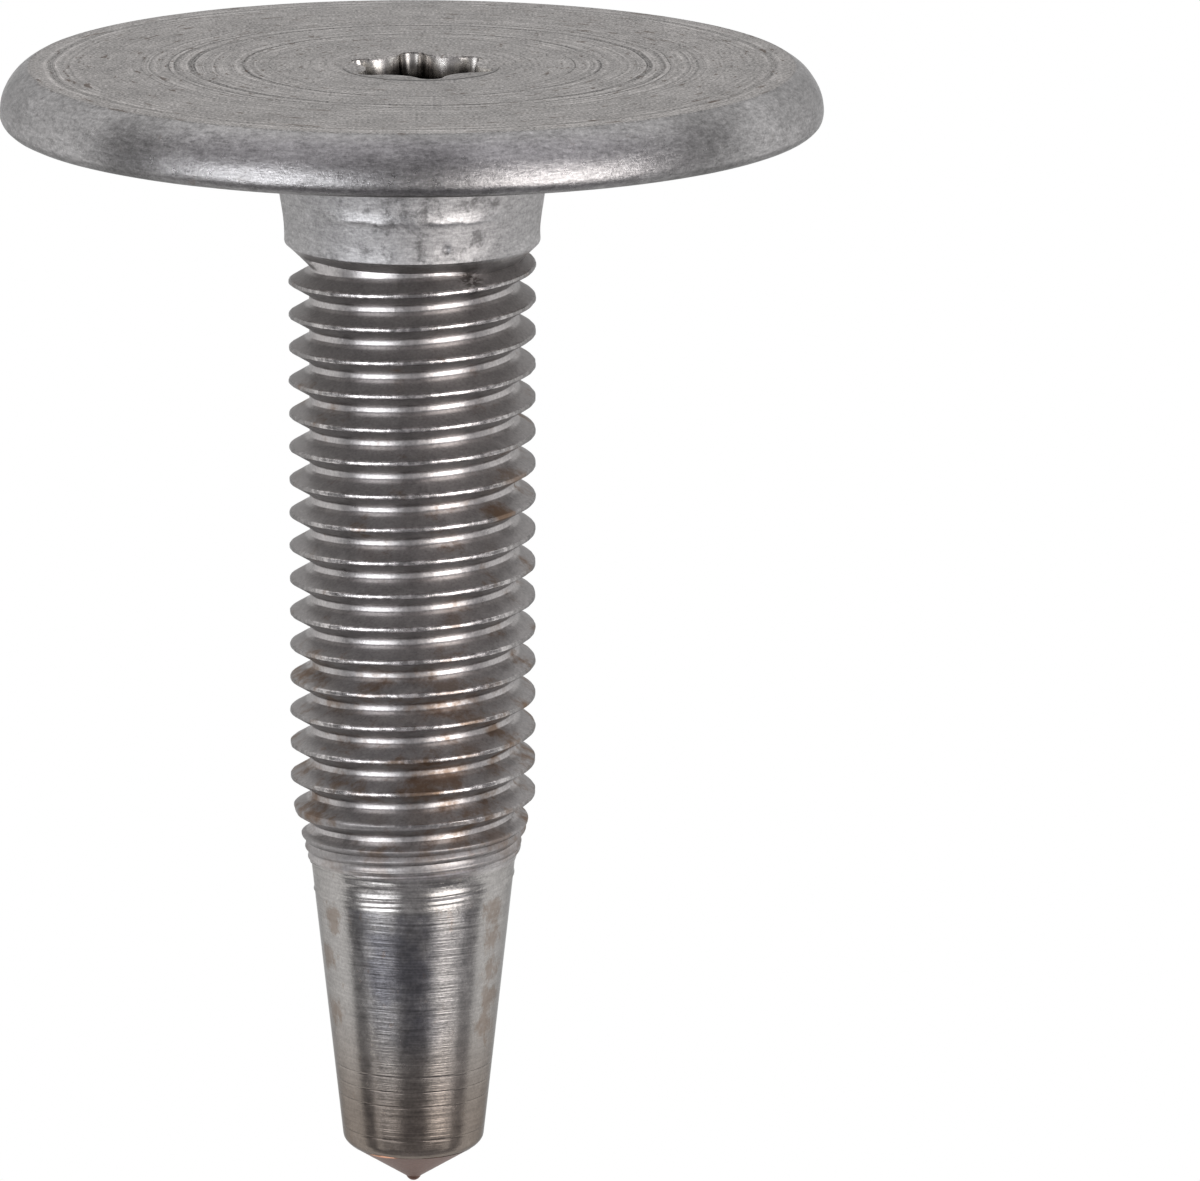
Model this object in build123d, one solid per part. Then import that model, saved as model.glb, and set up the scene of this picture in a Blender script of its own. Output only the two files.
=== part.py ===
"""Carbide traction stud: a threaded steel stud with a wide flat head and a carbide point.

Frame: millimetres, +Z along the shank from the head to the point. The outer face of the
head lies in z = 0, so the stud stands on its head with its point up, and the axis of the
shank is x = y = 0.
"""

from build123d import *

import os
from math import cos, pi, radians, sin, tan

# Head: a turned disc, rounded over its rim
head_diameter = 25.68
head_thickness = 1.86
turned_face_diameter = 23.92    # where the flat outer face ends and the rim rolls over
rim_back_radius = 0.515         # rounding between the rim's widest line and the underside

# Collar: a short taper under the head, with a small raised lip at its end
collar_head_diameter = 8.98     # where it meets the underside of the head
collar_end_diameter = 7.92
collar_length = 3.39
collar_lip_diameter = 8.02
collar_lip_length = 0.45
under_head_chamfer = 0.25

# Threaded shank: 5/16 inch with 24 turns to the inch, drawn plain at the diameter of its crests
thread_diameter = 7.75
thread_length = 17.4
lead_in_length = 2.47           # the taper that leads the thread into a nut
lead_in_angle = 15

# Nose: a slender taper with a rounded shoulder and a blunt cone
nose_length = 9.07
nose_corner_diameter = 4.434    # where side and cone would meet in a sharp corner
nose_shoulder_radius = 0.22
point_angle = 116               # the whole angle of the cone

# Six-lobe drive recess in the head
drive_lobes = 6
drive_lobe_diameter = 4.5       # across opposite lobes
drive_waist_diameter = 3.26     # across opposite ribs
drive_lobe_radius = 0.38
drive_depth = 2.2
drive_floor_angle = 120
drive_turn = 22                 # degrees from +X to the first lobe
drive_offset = -0.28            # the recess is formed a little off the axis, along X

# Carbide pin, brazed into the nose
pin_diameter = 3.88
pin_depth = 3.64                # from the nose's corner to the floor of the hole
pin_tip_radius = 0.25
pin_tip_rise = 0.02             # how far the round tip stands above the cone's own point
braze_gap = 0.02                # all round the pin, which stands on the floor of its hole

# Worked out from the sizes above
head_r = head_diameter / 2
collar_head_r = collar_head_diameter / 2
collar_end_r = collar_end_diameter / 2
collar_lip_r = collar_lip_diameter / 2
thread_r = thread_diameter / 2
nose_start_r = thread_r - lead_in_length * tan(radians(lead_in_angle))
nose_corner_r = nose_corner_diameter / 2
pin_r = pin_diameter / 2
point_slope = 1 / tan(radians(point_angle / 2))

# Heights above the outer face of the head
collar_end = head_thickness + collar_length
thread_start = collar_end + collar_lip_length
thread_end = thread_start + thread_length
nose_start = thread_end + lead_in_length
nose_corner = nose_start + nose_length
pin_seat = nose_corner - pin_depth
cone_point = nose_corner + nose_corner_r * point_slope
stud_end = cone_point + pin_tip_rise


def turned(*lines):
    """The solid turned about the shank's axis from a closed outline in radius and height."""
    return revolve(make_face(Plane.XZ * (Curve() + list(lines))), Axis.Z)


def ring_edge(solid, radius):
    """The round edge of a turned solid at a radius."""
    rings = solid.edges().filter_by(GeomType.CIRCLE)
    return rings.filter_by(lambda edge: abs(edge.radius - radius) < 0.001)


def turned_blank():
    """Head, collar, shank and nose in one turned piece, before anything is formed in it."""
    face_edge = (turned_face_diameter / 2, 0)
    rim = (head_r, head_thickness - rim_back_radius)
    underside_edge = (head_r - rim_back_radius, head_thickness)
    blank = turned(
        Line((0, 0), face_edge),
        TangentArc(rim, face_edge, tangent=(0, -1)),
        TangentArc(rim, underside_edge, tangent=(0, 1)),
        Polyline(
            underside_edge,
            (collar_head_r, head_thickness),
            (collar_end_r, collar_end),
            (collar_lip_r, collar_end + collar_lip_length / 2),
            (thread_r, thread_start),
            (thread_r, thread_end),
            (nose_start_r, nose_start),
            (nose_corner_r, nose_corner),
            (0, cone_point),
            (0, 0),
        ),
    )
    blank = chamfer(ring_edge(blank, collar_head_r), under_head_chamfer)
    return fillet(ring_edge(blank, nose_corner_r), nose_shoulder_radius)


def drive_recess():
    """The six-lobe recess: lobes and ribs are arcs that run into each other without a corner."""
    lobe_centre_r = drive_lobe_diameter / 2 - drive_lobe_radius
    waist_r = drive_waist_diameter / 2
    half_step = pi / drive_lobes
    # The rib's arc touches the lobe's arc and passes through the waist
    reach = waist_r - drive_lobe_radius
    rib_centre_r = (lobe_centre_r**2 - reach**2) / (2 * (lobe_centre_r * cos(half_step) - reach))
    rib_radius = rib_centre_r - waist_r
    lobe_share = drive_lobe_radius / (drive_lobe_radius + rib_radius)

    def polar(radius, angle):
        return Vector(radius * cos(angle), radius * sin(angle))

    def meeting_point(lobe_angle, rib_angle):
        lobe_centre = polar(lobe_centre_r, lobe_angle)
        return lobe_centre + (polar(rib_centre_r, rib_angle) - lobe_centre) * lobe_share

    outline = Curve()
    for lobe in range(drive_lobes):
        lobe_angle = radians(drive_turn) + 2 * half_step * lobe
        rib_angle = lobe_angle + half_step
        lobe_start = meeting_point(lobe_angle, lobe_angle - half_step)
        lobe_end = meeting_point(lobe_angle, rib_angle)
        next_start = meeting_point(lobe_angle + 2 * half_step, rib_angle)
        outline += ThreePointArc(lobe_start, polar(drive_lobe_diameter / 2, lobe_angle), lobe_end)
        outline += ThreePointArc(lobe_end, polar(waist_r, rib_angle), next_start)
    socket = extrude(make_face(outline), drive_depth)
    floor_height = waist_r / tan(radians(drive_floor_angle / 2))
    floor = Cone(waist_r, 0, floor_height, align=(Align.CENTER, Align.CENTER, Align.MIN))
    return Pos(drive_offset, 0, 0) * (socket + Pos(0, 0, drive_depth) * floor)


def pin_hole():
    """The blind hole in the nose that the carbide pin is brazed into."""
    depth = stud_end - pin_seat
    hole = Cylinder(pin_r + braze_gap, depth, align=(Align.CENTER, Align.CENTER, Align.MIN))
    return Pos(0, 0, pin_seat) * hole


def stud_body():
    """The one-piece steel body: a turned blank with the drive recess and the pin's hole."""
    return turned_blank() - drive_recess() - pin_hole()


def carbide_pin():
    """The carbide pin: a plain shank, the cone that carries on the nose's, and a small round tip."""
    shank = turned(
        Polyline(
            (0, pin_seat),
            (pin_r, pin_seat),
            (pin_r, cone_point - pin_r * point_slope),
            (0, cone_point),
            (0, pin_seat),
        )
    )
    return shank + Pos(0, 0, stud_end - pin_tip_radius) * Sphere(pin_tip_radius)


os.makedirs("parts", exist_ok=True)
export_step(stud_body(), "parts/stud_body.step")
export_step(carbide_pin(), "parts/carbide_pin.step")
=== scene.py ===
"""Carbide traction stud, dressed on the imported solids.

Metres. The stud stands on the outer face of its head in z = 0, with its point up.
"""

from math import asin, atan2, cos, degrees, exp, pi, radians, sin, sqrt, tan

import bpy
from mathutils import Matrix, Vector, noise


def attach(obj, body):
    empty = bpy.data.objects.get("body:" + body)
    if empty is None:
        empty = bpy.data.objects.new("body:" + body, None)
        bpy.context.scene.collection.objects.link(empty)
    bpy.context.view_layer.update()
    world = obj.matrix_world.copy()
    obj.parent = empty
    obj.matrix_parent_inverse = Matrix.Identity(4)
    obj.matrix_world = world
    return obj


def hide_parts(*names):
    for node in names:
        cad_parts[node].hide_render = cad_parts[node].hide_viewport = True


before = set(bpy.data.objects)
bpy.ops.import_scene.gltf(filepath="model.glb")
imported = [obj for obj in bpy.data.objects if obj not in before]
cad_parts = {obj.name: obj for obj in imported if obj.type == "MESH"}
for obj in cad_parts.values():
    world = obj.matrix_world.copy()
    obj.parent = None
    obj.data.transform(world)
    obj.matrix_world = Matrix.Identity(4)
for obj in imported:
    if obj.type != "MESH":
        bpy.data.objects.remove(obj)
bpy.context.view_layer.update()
mm = 0.001


# Head, collar and nose
# One piece of steel, turned all over. The head is a flat disc with a rolled rim, the collar ends
# in a small lip, and the nose tapers to a blunt cone.

head_radius = 12.84
head_thickness = 1.86
face_radius = 11.96
rim_height = 1.42
underside_end = 4.95
under_head_round = 0.4
under_head_centre = 4.832
collar_end = 5.585
collar_end_radius = 3.965
neck_radius = 3.235
core_radius = 3.12
pitch = 25.4 / 24
nose_start = 25.57
nose_start_radius = 3.213
nose_slope = 0.1098
nose_corner_radius = 2.252
nose_corner = 34.3
pin_hole_radius = 1.955
pin_hole_floor = 31.0


def arc(centre, radius, start, end, steps):
    """Points of an arc in radius and height, its angles in degrees from the radial direction."""
    points = []
    for step in range(steps + 1):
        angle = radians(start + (end - start) * step / steps)
        points.append((centre[0] + radius * cos(angle), centre[1] + radius * sin(angle)))
    return points


def straight(start, end, steps):
    """Points of a straight line in radius and height, without its last."""
    return [
        (
            start[0] + (end[0] - start[0]) * step / steps,
            start[1] + (end[1] - start[1]) * step / steps,
        )
        for step in range(steps)
    ]


def turned(name, profile, around, shape=None):
    """A closed mesh turned about the shank's axis from points in radius and height, in millimetres.

    shape moves each point, given its place, and returns the new one.
    """
    verts, faces, rings = [], [], []
    for radius, height in profile:
        if radius < 1e-6:
            rings.append([len(verts)])
            verts.append((0, 0, height))
            continue
        rings.append(list(range(len(verts), len(verts) + around)))
        for step in range(around):
            angle = 2 * pi * step / around
            verts.append((radius * cos(angle), radius * sin(angle), height))
    for low, high in zip(rings, rings[1:]):
        for step in range(around):
            after = (step + 1) % around
            if len(low) == 1:
                faces.append((low[0], high[after], high[step]))
            elif len(high) == 1:
                faces.append((low[step], low[after], high[0]))
            else:
                faces.append((low[step], low[after], high[after], high[step]))
    if shape:
        verts = [shape(Vector(vert)) for vert in verts]
    mesh = bpy.data.meshes.new(name)
    mesh.from_pydata([Vector(vert) * mm for vert in verts], [], faces)
    mesh.validate()
    piece = bpy.data.objects.new(name, mesh)
    bpy.context.collection.objects.link(piece)
    return piece


def bump_at(place, centre, width):
    """How near a place is to a centre: 1 there, falling off round it."""
    return exp(-((place - centre).length_squared) / (width * width))


def smooth(low, high, value):
    """0 below low, 1 above high, and smooth between."""
    share = min(1, max(0, (value - low) / (high - low)))
    return share * share * (3 - 2 * share)


def collar_radius(height):
    """The taper of the collar."""
    return 4.39 - (height - 2.5) * 0.1568


def nose_radius(height):
    """The taper of the nose."""
    return nose_start_radius - (height - nose_start) * nose_slope


dent_centre = Vector((-1.05, -3.86, 5.14))
dent_lip = Vector((-1.22, -3.82, 4.98))
groove_side = Vector((0.34, -0.94, 0))
groove_slope = 1.75
bruise_edge = 4.24
# One last shallow turn where the thread runs out on the nose: heights, and how far its surface
# lies outside the nose's taper, which is below zero where it is cut in
last_turn = (
    (25.58, 0.0), (25.66, -0.028), (25.82, -0.036), (25.99, -0.010), (26.08, -0.030),
    (26.14, -0.028), (26.24, -0.008), (26.32, -0.014), (26.39, 0.0),
)


def turn_relief(height):
    """The last turn's relief at a height, below zero where it is cut in."""
    for (low, start), (high, end) in zip(last_turn, last_turn[1:]):
        if low <= height < high:
            return start + (end - start) * (height - low) / (high - low)
    return 0


def cut_share(outward):
    """How far the collar's end is cut back in a direction: 1 on one side, 0 on the others."""
    return smooth(0.42, 0.82, outward.dot(groove_side))


def head_marks(place):
    """The collar's nick, swelling and cut-back end, the last turn, and the uneven rim."""
    across = sqrt(place.x**2 + place.y**2)
    if across < 1e-6:
        return place
    outward = Vector((place.x / across, place.y / across, 0))
    move = 0
    if 1.9 < place.z < 5.56 and across < 5:
        move += 0.05 * bump_at(place, dent_lip, 0.16) - 0.06 * bump_at(place, dent_centre, 0.18)
        move += 0.010 * noise.noise(place * 1.7) + 0.006 * noise.noise(place * 4.5)
        bruise = bruise_edge + 0.09 * noise.noise(place * 1.1) + 0.09 * noise.noise(place * 2.7)
        swell = min(0.05, 0.17 * (place.z - 3.75) ** 2) * smooth(2.4, 3.2, place.z)
        swell *= 1 - smooth(bruise, bruise + 0.2, place.z)
        move += 0.9 * swell * smooth(0.72, 0.88, -outward.y)
    if 5.56 <= place.z < 6.39 and core_radius < across < 4:
        cut_radius = max(neck_radius, collar_end_radius - (place.z - collar_end) * groove_slope)
        move += (cut_radius - across) * cut_share(outward)
    if 25.3 < place.z < 26.9 and 2.5 < across and outward.y < 0:
        climb = pitch * (atan2(outward.y, outward.x) / (2 * pi) + 0.25)
        move += turn_relief(place.z - climb) * smooth(0.0, 0.3, -outward.y)
    if across > 11.5:
        edge = Vector((outward.x * 9, outward.y * 9, place.z * 2.5))
        move += 0.012 * noise.noise(edge) - 0.012
    return place + outward * move


# The rim rolls over in a wide arc from the face and in a tight one to the underside
rim_back = head_thickness - rim_height
rim_drop = head_radius - face_radius
rim_front = (rim_drop**2 + rim_height**2) / (2 * rim_drop)

profile = [(0, 0)] + straight((1.0, 0), (face_radius, 0), 8)
rim_turn = degrees(asin(rim_height / rim_front))
profile += arc((head_radius - rim_front, rim_height), rim_front, -rim_turn, 0, 14)
profile += arc((head_radius - rim_back, rim_height), rim_back, 10, 90, 8)
profile += straight((12.0, head_thickness), (underside_end, head_thickness), 6)
corner = (under_head_centre, head_thickness + under_head_round)
profile += arc(corner, under_head_round, 270, 189, 7)
# The collar's taper has finer rows where it is bruised
for low, high, steps in ((2.5, 3.4, 6), (3.4, 4.5, 26), (4.5, 4.7, 2)):
    profile += straight((collar_radius(low), low), (collar_radius(high), high), steps)
# The lip flares a little, then the collar's end slopes in to the neck before the thread
profile += [(4.045, 4.70), (4.031, 4.80), (4.018, 4.90), (4.008, 5.00), (4.001, 5.10)]
profile += [(3.997, 5.20), (3.996, 5.28), (3.998, 5.36), (4.001, 5.43), (4.002, 5.48)]
profile += [(3.997, 5.53), (3.985, 5.565)]
profile += straight((collar_end_radius, collar_end), (neck_radius, 6.30), 12)
profile += [(neck_radius, 6.30), (neck_radius, 6.38)]
profile += straight((core_radius, 6.46), (core_radius, 25.05), 4)
# The nose has finer rows where the last turn climbs over it
profile += straight((nose_radius(25.4) - 0.02, 25.36), (nose_radius(25.46), 25.46), 2)
profile += straight((nose_radius(25.46), 25.46), (nose_radius(26.7), 26.7), 38)
profile += straight((nose_radius(26.7), 26.7), (nose_corner_radius, nose_corner), 16)
profile += [(2.236, 34.44), (2.215, 34.53), (2.17, 34.61), (2.11, 34.68), (2.05, 34.735)]
profile += [(pin_hole_radius + 0.02, 34.79), (pin_hole_radius, 34.78)]
profile += [(pin_hole_radius, pin_hole_floor), (0, pin_hole_floor)]
blank = turned("stud blank", profile, 192, head_marks)


# Thread
# Rolled on the shank, 24 turns to the inch and right-handed, with rounded roots and crests. Up
# the lead-in taper the crests aren't filled: each is two low lips with a furrow between them.

crest_radius = 3.875
root_radius = 3.23
crest_land = 0.024
crest_round = 0.051
root_land = 0.055
root_round = 0.077
flank_slope = tan(radians(30))
flank_top = crest_radius + crest_round + crest_land / flank_slope
# A crest passes over the X axis at this height, and climbs a pitch a turn from there
crest_height = 6.845
thread_end = 23.1
thread_first = 5.15
thread_last = 26.7
steps_a_turn = 128
# Where a ridge has its rows of points, as shares of half its crest and of its flank
land_columns = (0, 0.44, 0.56, 0.7, 0.86)
flank_columns = (0, 0.07, 0.22, 0.46, 0.728, 0.777, 0.825, 0.879, 1)


def taper_radius(height):
    """The lead-in taper and the nose beyond it."""
    return max(crest_radius - (height - thread_end) * tan(radians(15)), nose_radius(height))


def crest_limit(height):
    """How far out the thread may reach: its crests, then just over the taper, then inside it."""
    proud = 0.06 - 0.16 * smooth(25.38, 25.78, height)
    return min(crest_radius, taper_radius(height) + proud)


def thread_radius(along, height):
    """The rolled outline at a distance along the axis from a crest, which stands at a height."""
    away = abs(along)
    radius = flank_top - away / flank_slope
    past_land = max(0, away - crest_land)
    if past_land < crest_round * cos(radians(30)):
        radius = crest_radius - crest_round + sqrt(crest_round**2 - past_land**2)
    to_root = pitch / 2 - away
    past_root = max(0, to_root - root_land)
    if past_root < root_round * cos(radians(30)):
        radius = root_radius + root_round - sqrt(root_round**2 - past_root**2)
    # A crest that isn't filled has a round lip along each edge, with the furrow between them
    half = land_half(height)
    furrow = min(0.11, (half - 0.075) * 0.6)
    from_lip = (away - max(0, half - 0.08)) / 0.09
    radius = min(radius, crest_limit(height + along) - min(furrow, 0.045 * from_lip**2))
    # The groove's floor comes up to the taper as the thread runs out, with a low bead along it
    floor = root_radius + 0.15 * smooth(24.3, 24.9, height + along)
    inside = 0.03 * smooth(25.4, 25.6, height + along)
    bead = 0.06 * exp(-((to_root / 0.085) ** 2)) * smooth(24.6, 24.9, height + along)
    return max(radius, min(floor, taper_radius(height + along) - inside, radius + 0.2)) + bead


def land_half(height):
    """Half the width of a crest, which grows where the taper cuts it."""
    return max(0.075, (flank_top - crest_limit(height)) * flank_slope)


def ridge(height):
    """Offsets along the axis and radii over one pitch, round a crest at a height."""
    half = min(land_half(height), 0.4)
    away = [half * share for share in land_columns]
    away += [half + (pitch / 2 - half) * share for share in flank_columns]
    offsets = [-along for along in reversed(away)] + away[1:]
    return [(along, thread_radius(along, height)) for along in offsets]


burr_centre = Vector((-1.80, -2.95, 6.36))
collar_end_slope = 1.012


def thread_marks(place):
    """Its start under the collar's end, small nicks on the crests, and the torn first turn."""
    across = sqrt(place.x**2 + place.y**2)
    outward = Vector((place.x / across, place.y / across, 0))
    # The turn that would lie under the collar's end is left out
    crest_at = crest_height + pitch * atan2(place.y, place.x) / (2 * pi)
    crest_at += pitch * round((place.z - crest_at) / pitch)
    if place.z < 6.4:
        slope = collar_end_slope + (groove_slope - collar_end_slope) * cut_share(outward)
        under_collar = max(3.22, collar_end_radius - 0.03 - (place.z - collar_end) * slope)
        across = min(across, under_collar + smooth(6.0, 6.3, crest_at))
        place = Vector((outward.x * across, outward.y * across, place.z))
    crest = min(1, max(0, (across - 3.5) / (crest_radius - 3.5)))
    nicks = noise.noise(place * 1.9) + 0.6 * noise.noise(place * 3.7)
    move = crest * (0.018 * nicks - 0.010)
    near = bump_at(place, burr_centre, 0.4)
    move += near * (0.16 * noise.noise(place * 5.3) + 0.10 * noise.noise(place * 11))
    return place + outward * move


def helical_thread():
    """The threaded rod as one closed mesh: rows follow the helix, and each turn shares its edge."""
    turns = (thread_last - thread_first) / pitch - 1
    count = int(turns * steps_a_turn)
    across = len(ridge(10.0)) - 1
    verts, grid = [], {}
    for step in range(count + 1):
        angle = 2 * pi * step / steps_a_turn
        middle = thread_first + pitch / 2 + pitch * step / steps_a_turn
        turn_to = angle + 2 * pi * (thread_first + pitch / 2 - crest_height) / pitch
        for column, (along, radius) in enumerate(ridge(middle)):
            if column == 0 and step >= steps_a_turn:
                grid[step, 0] = grid[step - steps_a_turn, across]
                continue
            grid[step, column] = len(verts)
            place = Vector((radius * cos(turn_to), radius * sin(turn_to), middle + along))
            verts.append(thread_marks(place))
    faces = []
    for step in range(count):
        for column in range(across):
            faces.append(
                (
                    grid[step, column],
                    grid[step + 1, column],
                    grid[step + 1, column + 1],
                    grid[step, column + 1],
                )
            )
    # The ends close on the axis, inside the collar and inside the nose
    low_foot = len(verts)
    verts.append(Vector((0, 0, thread_first)))
    for step in range(steps_a_turn):
        faces.append((low_foot, grid[step + 1, 0], grid[step, 0]))
    faces.append(tuple([low_foot] + [grid[0, column] for column in range(across + 1)]))
    last = len(verts)
    verts.append(Vector((0, 0, thread_last)))
    for step in range(count - steps_a_turn, count):
        faces.append((last, grid[step, across], grid[step + 1, across]))
    faces.append(tuple([last] + [grid[count, column] for column in range(across, -1, -1)]))
    mesh = bpy.data.meshes.new("rolled thread")
    mesh.from_pydata([vert * mm for vert in verts], [], faces)
    mesh.validate()
    rod = bpy.data.objects.new("rolled thread", mesh)
    bpy.context.collection.objects.link(rod)
    return rod


thread = helical_thread()


# Drive recess
# Pressed into the head with a six-lobe punch, a little off the axis. Its walls flare towards the
# face, which is pressed in beside them in a very shallow round dish. Its floor is a shallow cone.

recess_offset = -0.28
recess_turn = radians(22)
lobe_reach = 2.25
waist_reach = 1.63
lobe_radius = 0.38
recess_depth = 2.2
floor_slope = tan(radians(30))
mouth_flare = 0.12
dish_radius = 2.43
dish_shift = -0.50


def lobed_outline(steps):
    """The recess's outline as radii and angles, in even steps along its lobes and ribs."""
    lobe_middle = lobe_reach - lobe_radius
    inner = waist_reach - lobe_radius
    rib_middle = (lobe_middle**2 - inner**2) / (2 * (lobe_middle * cos(pi / 6) - inner))
    rib_radius = rib_middle - waist_reach
    lobe_centre = Vector((lobe_middle, 0))
    rib_centre = Vector((rib_middle * cos(pi / 6), rib_middle * sin(pi / 6)))
    towards = rib_centre - lobe_centre
    lobe_turn = atan2(towards.y, towards.x)
    rib_turn = lobe_turn + pi
    rib_end = pi / 6 + pi
    half = [
        lobe_centre + lobe_radius * Vector((cos(lobe_turn * t), sin(lobe_turn * t)))
        for t in (step / steps for step in range(steps + 1))
    ]
    half += [
        rib_centre + rib_radius * Vector((cos(angle), sin(angle)))
        for angle in (
            rib_turn + (rib_end - rib_turn) * step / steps for step in range(1, steps + 1)
        )
    ]
    half = [(point.length, atan2(point.y, point.x)) for point in half]
    lobe = [(radius, -angle) for radius, angle in reversed(half[1:-1])] + half
    return [
        (radius, angle + recess_turn + pi / 3 * turn)
        for turn in range(6)
        for radius, angle in lobe
    ]


def recess_punch():
    """The punch: a round collar that draws in to the lobed outline, and a cone below."""
    outline = lobed_outline(7)
    # Depth, share of the round dish in the outline, and how far it stands outside the lobes
    rows = [(-0.4, 1, 0), (-0.004, 1, 0), (0.008, 0.96, 0), (0.014, 0.85, 0), (0.020, 0.60, 0)]
    rows += [(0.028, 0.32, 0.05), (0.038, 0.08, 0.11), (0.052, 0, mouth_flare), (0.09, 0, 0.11)]
    rows += [(0.25, 0, 0.082), (0.45, 0, 0.046), (0.62, 0, 0.018), (0.8, 0, 0)]
    rows += [(1.5, 0, -0.01), (recess_depth, 0, -0.02)]
    verts, faces = [], []
    for depth, dish, growth in rows:
        for radius, angle in outline:
            shift = dish_shift * sin(angle)
            round_dish = shift + sqrt(shift**2 - dish_shift**2 + dish_radius**2)
            mouth = max(round_dish, radius + mouth_flare)
            reach = dish * mouth + (1 - dish) * radius + growth
            verts.append(Vector((reach * cos(angle), reach * sin(angle), depth)))
    count = len(outline)
    floor = recess_depth + 0.02
    for radius, angle in outline:
        reach = min(radius, waist_reach) - 0.02
        verts.append(Vector((reach * cos(angle), reach * sin(angle), floor)))
    for row in range(len(rows)):
        for step in range(count):
            after = (step + 1) % count
            low, high = row * count, (row + 1) * count
            faces.append((low + step, low + after, high + after, high + step))
    verts.append(Vector((0, 0, floor + waist_reach * floor_slope)))
    top = len(rows) * count
    for step in range(count):
        faces.append((top + step, top + (step + 1) % count, len(verts) - 1))
    faces.append(tuple(range(count - 1, -1, -1)))
    mesh = bpy.data.meshes.new("recess punch")
    mesh.from_pydata([(vert + Vector((recess_offset, 0, 0))) * mm for vert in verts], [], faces)
    mesh.validate()
    punch = bpy.data.objects.new("recess punch", mesh)
    bpy.context.collection.objects.link(punch)
    return punch


punch = recess_punch()


def join(base, piece, operation):
    """Joins a piece to the base, or cuts it out, and removes the piece."""
    step = base.modifiers.new(operation, "BOOLEAN")
    step.operation = operation
    step.solver = "EXACT"
    step.object = piece
    bpy.context.view_layer.update()
    made = bpy.data.meshes.new_from_object(
        base.evaluated_get(bpy.context.evaluated_depsgraph_get())
    )
    base.modifiers.clear()
    old = base.data
    base.data = made
    bpy.data.meshes.remove(old)
    bpy.data.objects.remove(piece)


join(blank, thread, "UNION")
join(blank, punch, "DIFFERENCE")
stud = blank
stud.name = "stud"
stud.data.shade_smooth()
stud.data.set_sharp_from_angle(angle=radians(32))
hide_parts("stud_body")
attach(stud, "root")


# Bare steel
# Turned and rolled steel with no plating: a fine mottled grey, turning rings on the head's
# face and the nose, bright rubbed crests, and brown stains where oil and rust have dried.
# Light and shade are painted in too, on the crests, roots, rim, recess and nose.


class Wire:
    """One output of a node. Sums on it add Math nodes, and node() adds any other kind."""

    def __init__(self, socket):
        self.socket = socket

    def node(self, kind, settings, inputs, output=0):
        """Adds a node, sets it up, then gives its sockets values or links; returns one output."""
        tree = self.socket.id_data
        made = tree.nodes.new("ShaderNode" + kind)
        for name, value in settings.items():
            if name == "stops":
                ramp = made.color_ramp
                while len(ramp.elements) < len(value):
                    ramp.elements.new(0.5)
                for element, (position, colour) in zip(ramp.elements, value):
                    element.position = position
                    element.color = colour
            else:
                setattr(made, name, value)
        for name, value in inputs.items():
            shown = [socket for socket in made.inputs if socket.enabled]
            if isinstance(name, int):
                socket = shown[name]
            else:
                socket = next(socket for socket in shown if socket.name == name)
            if isinstance(value, Wire):
                tree.links.new(value.socket, socket)
            else:
                socket.default_value = value
        given = [socket for socket in made.outputs if socket.enabled]
        return Wire(given[output])

    def math(self, operation, *values):
        return self.node("Math", {"operation": operation}, dict(enumerate(values)))

    def __add__(self, other):
        return self.math("ADD", self, other)

    def __radd__(self, other):
        return self.math("ADD", other, self)

    def __sub__(self, other):
        return self.math("SUBTRACT", self, other)

    def __rsub__(self, other):
        return self.math("SUBTRACT", other, self)

    def __mul__(self, other):
        return self.math("MULTIPLY", self, other)

    def __rmul__(self, other):
        return self.math("MULTIPLY", other, self)

    def __pow__(self, other):
        return self.math("POWER", self, other)

    def to(self, socket):
        """Feeds a socket of a shader or an output."""
        self.socket.id_data.links.new(self.socket, socket)


def new_finish(name):
    """A material, its shader, and the place on the piece in millimetres."""
    material = bpy.data.materials.new(name)
    material.use_nodes = True
    tree = material.node_tree
    place = Wire(tree.nodes.new("ShaderNodeTexCoord").outputs["Object"])
    place = place.node("VectorMath", {"operation": "SCALE"}, {"Vector": place, "Scale": 1 / mm})
    return material, tree.nodes["Principled BSDF"], place


def between(value, low, high):
    """0 below low, 1 above high, and smooth between. low may be the higher one."""
    if low > high:
        return 1 - between(value, high, low)
    ranges = {"From Min": low, "From Max": high}
    return value.node(
        "MapRange", {"interpolation_type": "SMOOTHSTEP"}, {"Value": value, **ranges}
    )


def grain(place, scale, detail=2.0, roughness=0.5, stretch=(1, 1, 1)):
    """Noise over a place, from 0 to 1, of about scale lumps a millimetre."""
    stretched = place.node("VectorMath", {"operation": "MULTIPLY"}, {0: place, 1: stretch})
    return place.node(
        "TexNoise",
        {"noise_dimensions": "3D"},
        {"Vector": stretched, "Scale": scale, "Detail": detail, "Roughness": roughness},
    )


def rings(value, scale, detail=3.0, roughness=0.6):
    """Noise along one value, from 0 to 1, for turned lines."""
    return value.node(
        "TexNoise",
        {"noise_dimensions": "1D"},
        {"W": value, "Scale": scale, "Detail": detail, "Roughness": roughness},
    )


def blend(share, first, second):
    """One colour turning into another by a share."""
    return share.node(
        "Mix", {"data_type": "RGBA"}, {"Factor": share, "A": first, "B": second}
    )


def spot(place, centre, radius, soft=0.5):
    """1 at a point and 0 beyond a radius of it. soft is the share of the radius that fades."""
    away = place.node("VectorMath", {"operation": "DISTANCE"}, {0: place, 1: centre}, 0)
    return between(away, radius, radius * (1 - soft))


def shade(colour, tone):
    """A colour made lighter or darker by a tone, 1 leaving it as it is."""
    return tone.node("VectorMath", {"operation": "SCALE"}, {"Vector": colour, "Scale": tone})


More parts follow.
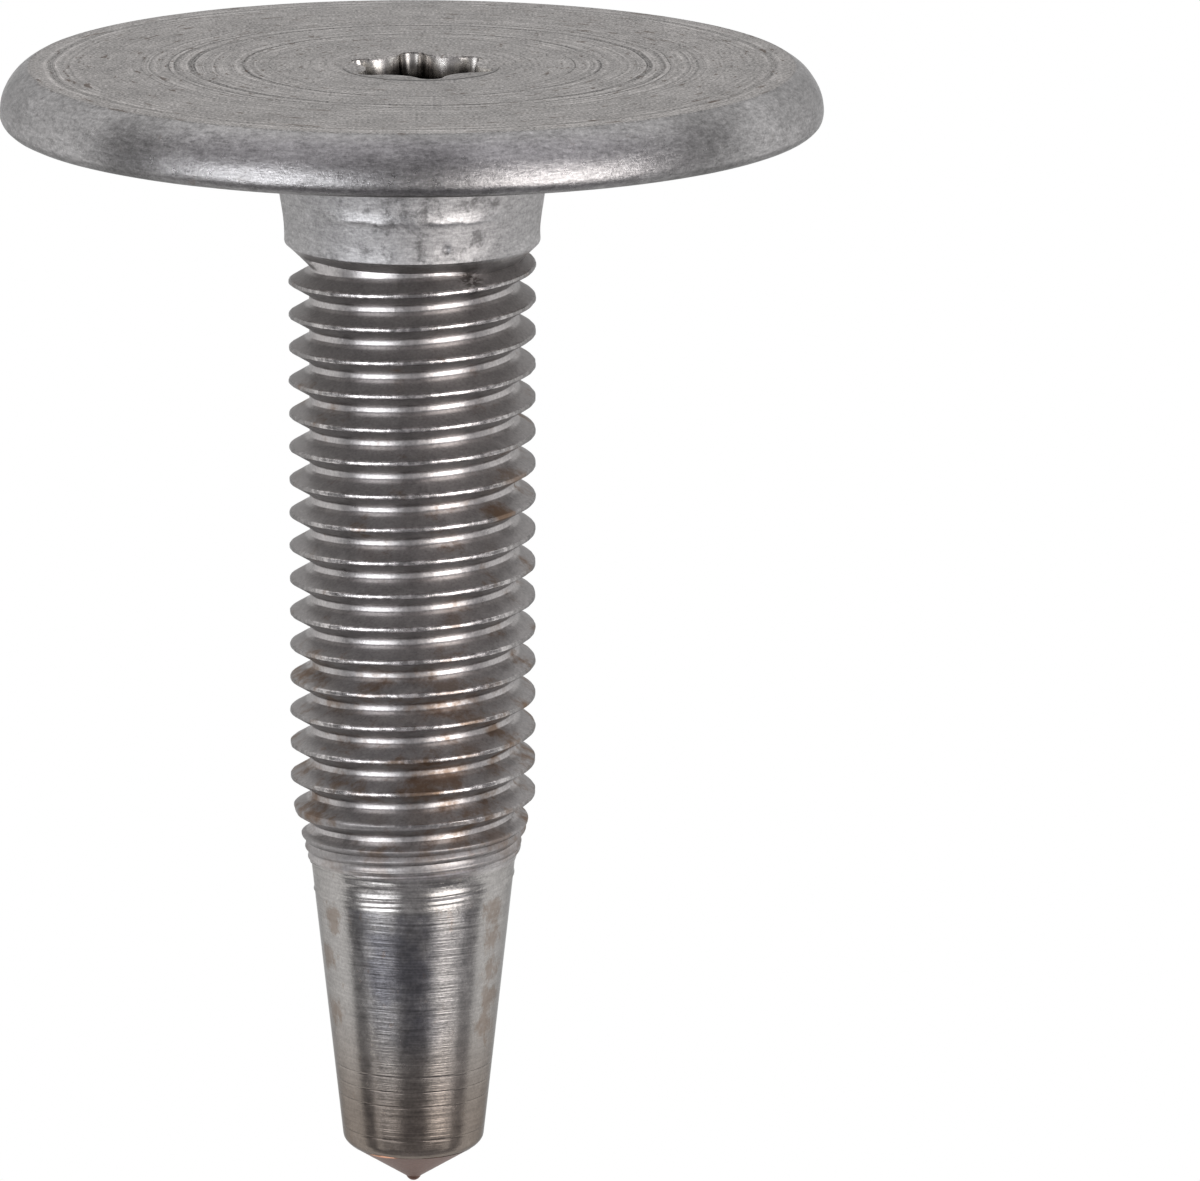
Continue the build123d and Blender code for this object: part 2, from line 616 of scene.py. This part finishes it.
steel, steel_shader, place = new_finish("bare steel")
split = place.node("SeparateXYZ", {}, {0: place}).socket.node.outputs
x, y, z = (Wire(output) for output in split)
across = (x * x + y * y) ** 0.5
round_way = place.node(
    "VectorMath", {"operation": "NORMALIZE"}, {0: place.node("CombineXYZ", {}, {0: x, 1: y})}
)

on_face = between(z, 0.11, 0.06) * between(across, 12.05, 11.9)
on_rim = between(across, 11.9, 12.0) * between(z, 1.859, 1.83)
on_bevel = on_rim * between(z, 1.25, 0.75)
rim_back_shade = on_rim * between(z, 1.52, 1.62)
on_collar = between(z, 1.95, 2.1) * between(z, 5.75, 5.55) * between(across, 6.5, 5.5)
on_thread = between(z, 5.5, 5.9) * between(z, 25.45, 25.3) * between(across, 5.0, 4.5)
on_nose = between(z, 25.3, 25.45)
in_recess = between(z, 0.04, 0.09) * between(across, 2.9, 2.7) * between(z, 3.6, 3.4)
on_crest = on_thread * between(across, 3.79, 3.84)
in_root = on_thread * between(across, 3.42, 3.32)

mottle = grain(place, 2.2, 4.0, 0.6)
fine = grain(place, 11.0, 3.0, 0.65)
patches = grain(place, 0.5, 3.0, 0.6)

# The rings on the face: those of its middle run round the recess, the others round the axis
aside = place.node("VectorMath", {"operation": "ADD"}, {0: place, 1: (-recess_offset, 0, 0)})
aside_x = Wire(aside.node("SeparateXYZ", {}, {0: aside}).socket.node.outputs[0])
middle_across = (aside_x * aside_x + y * y) ** 0.5
outer_share = between(across, 8.6, 10.2)
ring_at = middle_across * (1 - outer_share) + across * outer_share
ring_at = ring_at + grain(place, 0.3, 1.0, 0.5) * 0.3
fine_rings = rings(ring_at, 4.6, 4.0, 0.78)
middle_rings = between(middle_across, 4.2, 5.4) * between(middle_across, 9.2, 8.0)
outer_rings = between(across, 10.4, 10.9) * between(across, 11.8, 11.5)
ring_depth = 0.35 + 0.9 * middle_rings + 0.9 * outer_rings
dark_rings = between(fine_rings, 0.42, 0.30) * between(patches, 0.38, 0.60) * ring_depth
ring_share = ring_depth * (0.4 + 1.2 * between(patches, 0.35, 0.65))
face_tone = 0.97 + (fine_rings - 0.5) * 1.4 * ring_share - dark_rings * 0.35
face_tone = face_tone + (mottle - 0.5) * 0.6 + (fine - 0.5) * 3.0 + (patches - 0.5) * 0.7
# Small brown pits, drawn out along the rings
along_rings = place.node(
    "VectorMath", {"operation": "SCALE"}, {"Vector": round_way, "Scale": 11.0}
)
along_rings = along_rings.node(
    "VectorMath",
    {"operation": "ADD"},
    {0: along_rings, 1: place.node("CombineXYZ", {}, {2: ring_at * 4.5})},
)
face_pits = between(grain(along_rings, 1.0, 3.0, 0.6), 0.61, 0.68) * on_face

# The nose's turned lines, four of them cut deeper and smoother, with a painted highlight along them
wavy = z + 0.015 * grain(place, 0.6)
nose_lines = rings(wavy, 7.0, 2.5, 0.7)
deep_lines = between(wavy, 32.07, 32.03) * between(wavy, 31.97, 32.01)
for height in (32.50, 33.00, 34.12):
    groove = between(wavy, height + 0.07, height + 0.03) * between(wavy, height - 0.03, height)
    deep_lines = deep_lines + groove

# Fine streaks that follow the turning, on the rim and, fainter, on the collar
streaks = grain(place, 2.6, 5.0, 0.78, (1, 1, 4.0))

face_colour = (0.43, 0.412, 0.40, 1)
rim_colour = (0.39, 0.380, 0.380, 1)
collar_colour = (0.43, 0.422, 0.422, 1)
thread_colour = (0.345, 0.330, 0.326, 1)
nose_colour = (0.40, 0.385, 0.372, 1)
nose_end_colour = (0.24, 0.205, 0.178, 1)
# Painted light: the blue-grey below is partly painted shade, the recess's mouth a painted highlight
# and its depth painted shade
tint_and_shade_colour = (0.165, 0.162, 0.174, 1)
recess_mouth_highlight_colour = (0.70, 0.675, 0.64, 1)
recess_shade_colour = (0.17, 0.16, 0.15, 1)
stain_colour = (0.20, 0.135, 0.092, 1)

colour = blend(on_rim, face_colour, rim_colour)
colour = blend(on_collar, colour, collar_colour)
colour = blend(on_thread, colour, thread_colour)
# The heat of brazing has tinted the end of the nose brown. Its front is a dull blue-grey, partly
# heat tint and partly painted shade that dims its highlights
nose = blend(between(z, 28.5, 34.0), nose_colour, nose_end_colour)
tint_and_shade = between(z, 26.42, 26.6) * between(z, 32.0, 30.0)
tint_and_shade = tint_and_shade * (0.55 + 0.45 * between(grain(place, 0.9, 4.0, 0.6), 0.35, 0.6))
tint_and_shade_side = between(y, -2.2, -2.6) * (0.4 + 0.6 * between(x, -1.0, -0.3))
nose = blend(tint_and_shade * tint_and_shade_side, nose, tint_and_shade_colour)
nose_streaks = grain(place, 0.9, 2.5, 0.65, (1, 1, 14))
colour = blend(on_nose, colour, nose)
# The mouth of the recess is painted light, as a painted highlight, and deeper down it is painted
# dark, as shade
recess = blend(between(z, 0.12, 0.5), recess_mouth_highlight_colour, recess_shade_colour)
colour = blend(in_recess, colour, recess)

tone = 1 + (face_tone - 1) * on_face
tone = tone * (1 + ((mottle - 0.5) * 0.5 + (fine - 0.5) * (1 - 0.6 * on_nose)) * (1 - on_face))
tone = tone * (1 - 0.14 * on_bevel * between(grain(place, 0.55, 4.0, 0.65), 0.42, 0.60))
# Crests rubbed bright in short stretches. The stretches show most in front, with a painted
# highlight along the crests there, and the crests are painted darker at the sides as shade
beads = between(grain(place, 4.5, 2.0, 0.6), 0.42, 0.60)
crest_front_highlight = between(y, -2.0, -3.0)
tone = tone * (1 + on_crest * (beads * (0.2 + 0.8 * crest_front_highlight) - 0.28 + 0.32 * crest_front_highlight))
# The roots are painted lighter, as a painted highlight along them
tone = tone * (1 + 0.35 * in_root)
# The nose's turned lines and streaks, painted stronger in front as painted sheen and shade
nose_front = on_nose * between(y, -2.0, -2.5)
nose_tone = (nose_lines - 0.5) * 0.8 + (nose_streaks - 0.5) * 1.2 + 0.2 * deep_lines
nose_tone = nose_tone + (fine - 0.5) * 0.7
tone = tone * (1 + nose_tone * (0.3 * on_nose + 0.7 * nose_front))
# The front of the nose is painted darker towards its point, and in a band to one side of its
# middle, as painted shade over its highlights
tone = tone * (1 - 0.24 * between(z, 29.0, 31.5) * between(z, 34.4, 34.1) * nose_front)
right_band_shade = between(x, -0.2, -0.7) * between(x, -1.75, -1.35)
tone = tone * (1 - 0.24 * right_band_shade * between(z, 30.5, 29.5) * nose_front)
# The rim's back, where it turns under, is painted darker as shade
tone = tone * (1 - 0.3 * rim_back_shade)
tone = tone * (1 + (streaks - 0.5) * (2.0 * on_rim + 1.3 * on_collar))
# Cloudy dark patches on the collar, and brighter bands where it is rubbed
clouds = between(grain(place, 1.5, 5.0, 0.7), 0.48, 0.66)
tone = tone * (1 - 0.5 * clouds * on_collar * between(y, -2.6, -3.4))
rubbed = between(z, 3.8, 4.15) * between(z, 4.38, 4.30) * between(y, -2.8, -3.3)
rubbed = rubbed.math("MAXIMUM", rubbed, between(z, 4.9, 5.3) * 0.4) * on_collar
tone = tone * (1 + 0.10 * rubbed)
# The middle of the rim's front is painted darker, as painted shade between its two highlights, and
# grime is rubbed into the rim in three more places
tone = tone * (1 - 0.32 * spot(place, (-0.3, -12.8, 1.2), 3.0, 1.0) * on_rim)
for centre, width, depth in (
    ((8.65, -9.3, 1.15), 2.2, 0.45),
    ((2.5, -12.3, 0.7), 2.0, 0.12),
    ((-8.9, -8.8, 0.7), 2.8, 0.38),
):
    tone = tone * (1 - spot(place, centre, width, 0.9) * depth * on_rim * (0.4 + 1.2 * mottle))
# A dark crescent along the dish's front edge, and the front of the dish a little darker inside
dish_across = (aside_x * aside_x + (y - dish_shift) * (y - dish_shift)) ** 0.5
off_dish = (aside_x * aside_x + (y - dish_shift - 0.2) * (y - dish_shift - 0.2)) ** 0.5
in_dish = between(dish_across, 2.46, 2.42) * between(y, -0.3, -0.9) * on_face
tone = tone * (1 - in_dish * between(off_dish, 2.38, 2.46) * (0.45 + 0.5 * mottle))
tone = tone * (1 - 0.12 * in_dish)
colour = shade(colour, tone)

# Brown stains over the thread, deeper in seven places, and down both edges of the nose
stain_grain = grain(place, 0.8, 5.0, 0.68) + 0.09 * between(z, 16.0, 21.0)
stains = between(stain_grain, 0.56, 0.76) * on_thread * (0.85 - 0.5 * between(z, 24.2, 24.8))
for centre, width, depth in (
    ((-3.16, -2.24, 12.52), 0.75, 0.75),
    ((-2.82, -2.66, 13.52), 0.75, 0.95),
    ((-1.31, -3.65, 16.84), 0.55, 0.5),
    ((-1.19, -3.69, 18.93), 0.65, 0.6),
    ((-1.78, -3.44, 21.15), 0.6, 0.5),
    ((-0.31, -3.86, 22.04), 1.0, 0.95),
    ((-2.70, -2.44, 23.98), 0.7, 0.5),
):
    near = spot(place, centre, width * 1.7, 1.0)
    ragged = near + (grain(place, 1.5, 5.0, 0.7) - 0.5) * 2.0
    stains = stains.math("MAXIMUM", stains, between(ragged, 0.25, 0.95) * depth)
nose_grain = grain(place, 1.9, 6.0, 0.78, (1, 1, 0.7))
stains = stains.math("MAXIMUM", stains, on_nose * between(nose_grain, 0.58, 0.68) * 0.3)
nose_brown = spot(place, (-2.55, -1.75, 26.8), 1.0, 1.0)
for centre in (
    (-2.55, -1.65, 27.7),
    (-2.5, -1.4, 28.7),
    (-2.45, -1.3, 29.7),
    (-2.3, -1.45, 30.6),
    (2.6, -1.6, 27.1),
    (2.7, -1.2, 28.4),
    (2.5, -1.1, 30.2),
):
    nose_brown = nose_brown.math("MAXIMUM", nose_brown, spot(place, centre, 1.0, 1.0))
ragged = nose_brown * 0.8 + (nose_grain - 0.5) * 2.8
stains = stains.math("MAXIMUM", stains, between(ragged, 0.25, 0.75) * on_nose * 0.5)
colour = blend(stains, colour, stain_colour)
colour = blend(face_pits * 0.7, colour, (0.11, 0.075, 0.055, 1))

# A few short cracks in the roots and across the torn first turn, painted nearly black
cracks = spot(place, (3.21, -2.17, 7.16), 0.14)
for centre in ((3.52, -1.62, 14.95), (2.80, -2.68, 16.57), (2.65, -2.83, 18.84)):
    cracks = cracks + spot(place, centre, 0.16)
torn = spot(place, burr_centre, 0.60, 0.7)
cracks = cracks + torn * between(grain(place, 4.0, 4.0, 0.7, (1, 1, 1.8)), 0.44, 0.54)
colour = blend(cracks * 0.8, colour, (0.035, 0.028, 0.024, 1))

steel_shader.inputs["Metallic"].default_value = 1.0
steel_shader.inputs["Specular Tint"].default_value = (0.5, 0.5, 0.5, 1)
colour.to(steel_shader.inputs["Base Color"])
rough = 0.42 + (mottle - 0.5) * 0.2 + 0.05 * on_face + 0.12 * stains - 0.12 * on_rim
rough = rough - 0.18 * on_nose + 0.03 * on_thread - 0.2 * on_crest - 0.14 * in_root
rough = rough - 0.22 * in_recess - 0.08 * deep_lines * on_nose
rough = rough + 0.14 * on_collar - 0.2 * rubbed
rough.to(steel_shader.inputs["Roughness"])

# Relief, in millimetres: turned rings, a fine grain, and streaks round the rim and collar
dents = grain(place, 4.0, 3.0, 0.6)
relief = (fine_rings - 0.5) * 0.010 * on_face
relief = relief + (nose_lines - 0.5) * 0.004 * on_nose - deep_lines * 0.018 * on_nose
relief = relief + (nose_streaks - 0.5) * (0.001 * on_nose + 0.003 * nose_front)
relief = relief - 0.06 * spot(place, dent_centre, 0.17, 1.0)
fine_depth = 0.004 - 0.003 * on_nose + 0.006 * on_rim + 0.006 * on_collar
relief = relief + (fine - 0.5) * fine_depth
relief = relief + (streaks - 0.5) * (0.014 * on_rim + 0.012 * on_collar)
relief = relief + (dents - 0.5) * (0.006 * on_collar + 0.008 * in_root)
relief = relief + (mottle - 0.5) * (0.014 * on_collar + 0.009 * on_rim)
bump = relief.node("Bump", {}, {"Strength": 1.0, "Distance": mm, "Height": relief})
bump.to(steel_shader.inputs["Normal"])
stud.data.materials.clear()
stud.data.materials.append(steel)


# Carbide pin
# A sintered carbide rod brazed into the nose, its end ground to the nose's own cone with a
# small round nib left standing. It is dark, dull and slightly brown from the brazing.

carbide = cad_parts["carbide_pin"]
carbide_finish, carbide_shader, place = new_finish("sintered carbide")
speckle = grain(place, 12.0, 3.0, 0.6)
cloud = grain(place, 1.2, 2.0, 0.5)
colour = blend(cloud, (0.120, 0.066, 0.050, 1), (0.160, 0.088, 0.066, 1))
colour = shade(colour, 0.75 + 0.5 * speckle)
colour.to(carbide_shader.inputs["Base Color"])
carbide_shader.inputs["Metallic"].default_value = 0.85
carbide_shader.inputs["Roughness"].default_value = 0.48
bump = speckle.node(
    "Bump", {}, {"Strength": 1.0, "Distance": mm, "Height": speckle * 0.012}
)
bump.to(carbide_shader.inputs["Normal"])
carbide.data.materials.clear()
carbide.data.materials.append(carbide_finish)
carbide.data.shade_smooth()
carbide.data.set_sharp_from_angle(angle=radians(30))


# Braze
# The copper that was melted in between the pin and its hole. It shows as a thin uneven ring
# where the two cones meet, dark brown, with a painted copper glint at one spot.

braze_radius = 1.948
braze_height = 34.80
around = 160
section_steps = 10
verts, faces = [], []
for step in range(around):
    angle = 2 * pi * step / around
    swell = 0.028 + 0.016 * noise.noise(Vector((cos(angle) * 2.1, sin(angle) * 2.1, 0.7)))
    swell += 0.02 * exp(-(((angle - 5.22) / 0.2) ** 2))
    for turn in range(section_steps):
        spin = 2 * pi * turn / section_steps
        radius = braze_radius + swell * cos(spin)
        height = braze_height - 0.012 + swell * 0.8 * sin(spin)
        verts.append(Vector((radius * cos(angle), radius * sin(angle), height)) * mm)
for step in range(around):
    here = step * section_steps
    beside = (step + 1) % around * section_steps
    for turn in range(section_steps):
        up = (turn + 1) % section_steps
        faces.append((here + turn, beside + turn, beside + up, here + up))
mesh = bpy.data.meshes.new("braze ring")
mesh.from_pydata(verts, [], faces)
mesh.shade_smooth()
braze = bpy.data.objects.new("braze_ring", mesh)
bpy.context.collection.objects.link(braze)
braze_finish, braze_shader, place = new_finish("copper braze")
# The ring is painted bright copper at one spot, as a painted glint
glint = spot(place, (0.95, -1.70, 34.8), 0.6)
colour = blend(glint, (0.055, 0.028, 0.018, 1), (0.75, 0.40, 0.26, 1))
colour.to(braze_shader.inputs["Base Color"])
braze_shader.inputs["Metallic"].default_value = 1.0
braze_shader.inputs["Roughness"].default_value = 0.35
mesh.materials.append(braze_finish)
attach(braze, "root")


# Studio
# A plain pale floor under the head, white all round, and two oval soft boxes in front of the
# shank. Dark cards between and beside them give it its dark middle and edges.

world = bpy.data.worlds.new("studio")
bpy.context.scene.world = world
world.use_nodes = True
tree = world.node_tree
tree.nodes.clear()
ray = tree.nodes.new("ShaderNodeLightPath").outputs
seen = Wire(ray["Is Camera Ray"]) + Wire(ray["Is Glossy Ray"]) + Wire(ray["Is Transmission Ray"])
seen = seen.math("MINIMUM", seen, 1.0)
lit = seen.node("Background", {}, {"Color": (1, 1, 1, 1), "Strength": 0.85 + 0.15 * seen})
output = tree.nodes.new("ShaderNodeOutputWorld")
lit.to(output.inputs["Surface"])


def plate(name, width, height, centre, facing):
    """A flat rectangle that faces a direction."""
    mesh = bpy.data.meshes.new(name)
    w, h = width / 2, height / 2
    mesh.from_pydata([(-w, -h, 0), (w, -h, 0), (w, h, 0), (-w, h, 0)], [], [(0, 1, 2, 3)])
    made = bpy.data.objects.new(name, mesh)
    made.location = centre
    made.rotation_mode = "QUATERNION"
    made.rotation_quaternion = Vector(facing).to_track_quat("Z", "Y")
    bpy.context.collection.objects.link(made)
    return made


floor = plate("floor", 6.0, 6.0, (0, 0, -0.02 * mm), (0, 0, 1))
floor_finish = bpy.data.materials.new("pale floor")
floor_finish.use_nodes = True
tree = floor_finish.node_tree
shader = tree.nodes["Principled BSDF"]
shader.inputs["Base Color"].default_value = (0.86, 0.86, 0.86, 1)
shader.inputs["Roughness"].default_value = 0.9
shader.inputs["Specular IOR Level"].default_value = 0.1
# Its underside is clear, so that the stud can be looked at from below
behind = Wire(tree.nodes.new("ShaderNodeNewGeometry").outputs["Backfacing"])
clear = behind.node("BsdfTransparent", {}, {})
both = behind.node(
    "MixShader", {}, {0: behind, 1: Wire(shader.outputs["BSDF"]), 2: clear}
)
both.to(tree.nodes["Material Output"].inputs["Surface"])
floor.data.materials.append(floor_finish)
floor.visible_diffuse = False
floor.visible_glossy = False
floor.visible_transmission = False
floor.visible_shadow = False


def dark_card(name, width, height, centre, facing, glow):
    """A card that only reflections show, with a faint glow so that it isn't black."""
    card = plate(name, width, height, centre, facing)
    finish = bpy.data.materials.new(name)
    finish.use_nodes = True
    card_shader = finish.node_tree.nodes["Principled BSDF"]
    card_shader.inputs["Base Color"].default_value = (0.0, 0.0, 0.0, 1)
    card_shader.inputs["Emission Color"].default_value = (0.97, 0.95, 1.0, 1)
    card_shader.inputs["Emission Strength"].default_value = glow
    card.data.materials.append(finish)
    card.visible_camera = False
    card.visible_diffuse = False
    card.visible_transmission = False
    card.visible_shadow = False


def soft_box(name, side, low, high, colour, strength):
    """An oval soft box beside the camera, at an angle to the side, between two heights."""
    lamp = bpy.data.lights.new(name, "AREA")
    lamp.shape = "ELLIPSE"
    lamp.size = 0.78
    lamp.size_y = high - low
    lamp.energy = strength * pi * lamp.size * lamp.size_y * pi / 4
    lamp.color = colour
    made = bpy.data.objects.new(name, lamp)
    made.location = (sin(radians(side)), -cos(radians(side)), (low + high) / 2)
    made.rotation_mode = "QUATERNION"
    made.rotation_quaternion = Vector((made.location.x, made.location.y, 0)).to_track_quat("Z", "Y")
    bpy.context.collection.objects.link(made)


dark_card("middle card", 0.80, 4.4, (0, -1.0, 0.5), (0, 1, 0), 0.25)
dark_card("left card", 0.42, 4.4, (0.97, -0.24, 0.5), (-0.97, 0.24, 0), 0.15)
dark_card("right card", 0.42, 4.4, (-0.97, -0.24, 0.5), (0.97, 0.24, 0), 0.25)
dark_card("head card", 3.4, 1.7, (0, -0.75, -1.2), (0, 0, 1), 0.8)
dark_card("foot card", 2.4, 2.0, (0, -0.6, 1.5), (0, 0, -1), 0.35)
dark_card("low card", 2.4, 0.82, (0, -0.80, 0.95), (0, 1, 0), 0.25)
dark_card("left upper card", 0.76, 1.46, (0.68, -0.75, -0.27), (-0.68, 0.75, 0), 0.6)
dark_card("right upper card", 0.76, 1.51, (-0.70, -0.73, -0.245), (0.70, 0.73, 0), 0.9)
soft_box("left box", 41, -0.15, 0.45, (0.94, 0.97, 1.0), 3.0)
soft_box("right box", -41, -0.17, 0.50, (1.0, 0.965, 0.93), 3.7)

# The camera stands as the photograph was taken, in front of the head's edge and a little beyond
# its face, and looks up along the shank with the picture turned half round
camera_place = (0, -0.324636, -0.057217)
camera_yaw = 1.0400
camera_rise = 12.8410
camera_roll = 180.1470
camera = bpy.data.objects.new("camera", bpy.data.cameras.new("camera"))
camera.data.sensor_fit = "HORIZONTAL"
camera.data.sensor_width = 36.0
camera.data.lens = 317.4
camera.data.clip_start = 0.01
camera.data.clip_end = 20
camera.matrix_world = (
    Matrix.Translation(camera_place)
    @ Matrix.Rotation(radians(camera_yaw), 4, "Z")
    @ Matrix.Rotation(radians(90 + camera_rise), 4, "X")
    @ Matrix.Rotation(radians(camera_roll), 4, "Z")
)
bpy.context.collection.objects.link(camera)
bpy.context.scene.camera = camera
bpy.context.scene.view_settings.view_transform = "Standard"
